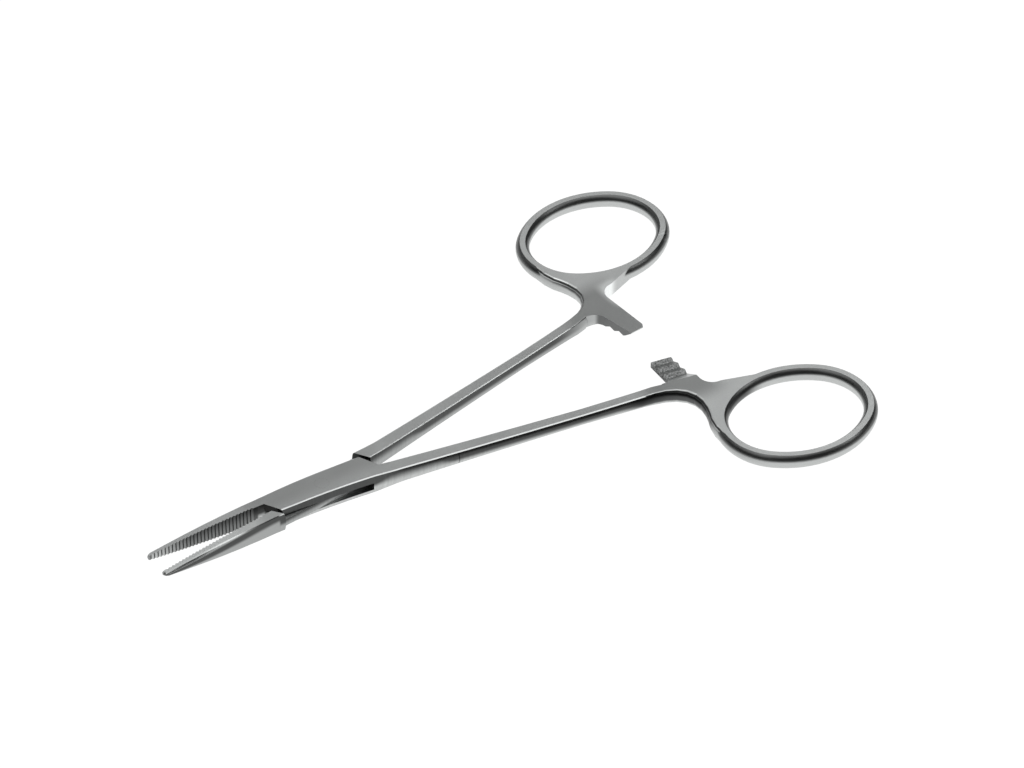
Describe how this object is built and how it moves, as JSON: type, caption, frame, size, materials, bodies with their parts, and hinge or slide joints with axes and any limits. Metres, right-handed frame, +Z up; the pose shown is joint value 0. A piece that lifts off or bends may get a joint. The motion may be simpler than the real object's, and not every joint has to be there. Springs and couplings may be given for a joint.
{
  "type": "hemostat forceps",
  "caption": "Straight haemostatic forceps with a box lock, serrated jaws, a tooth ratchet and two finger rings, lying slightly open on its side.",
  "frame": {"origin": "on the pivot axis, at the height of the box lock's flat underside", "axes": "+X from the jaw tips to the finger rings, midway between the halves; +Z up along the pivot axis"},
  "size_m": [0.1293, 0.0872, 0.0038],
  "materials": {
    "steel": "satin ground stainless steel with polished edges"
  },
  "bodies": {
    "box_side": {"box_half": "steel", "pivot_pin": "steel"},
    "tongue_side": {"tongue_half": "steel"}
  },
  "joints": [
    {"name": "pivot", "type": "hinge", "parent": "box_side", "child": "tongue_side", "pos_m": [0, 0, 0.0019], "axis": [0, 0, 1], "range_deg": [-7.4, 52]}
  ]
}
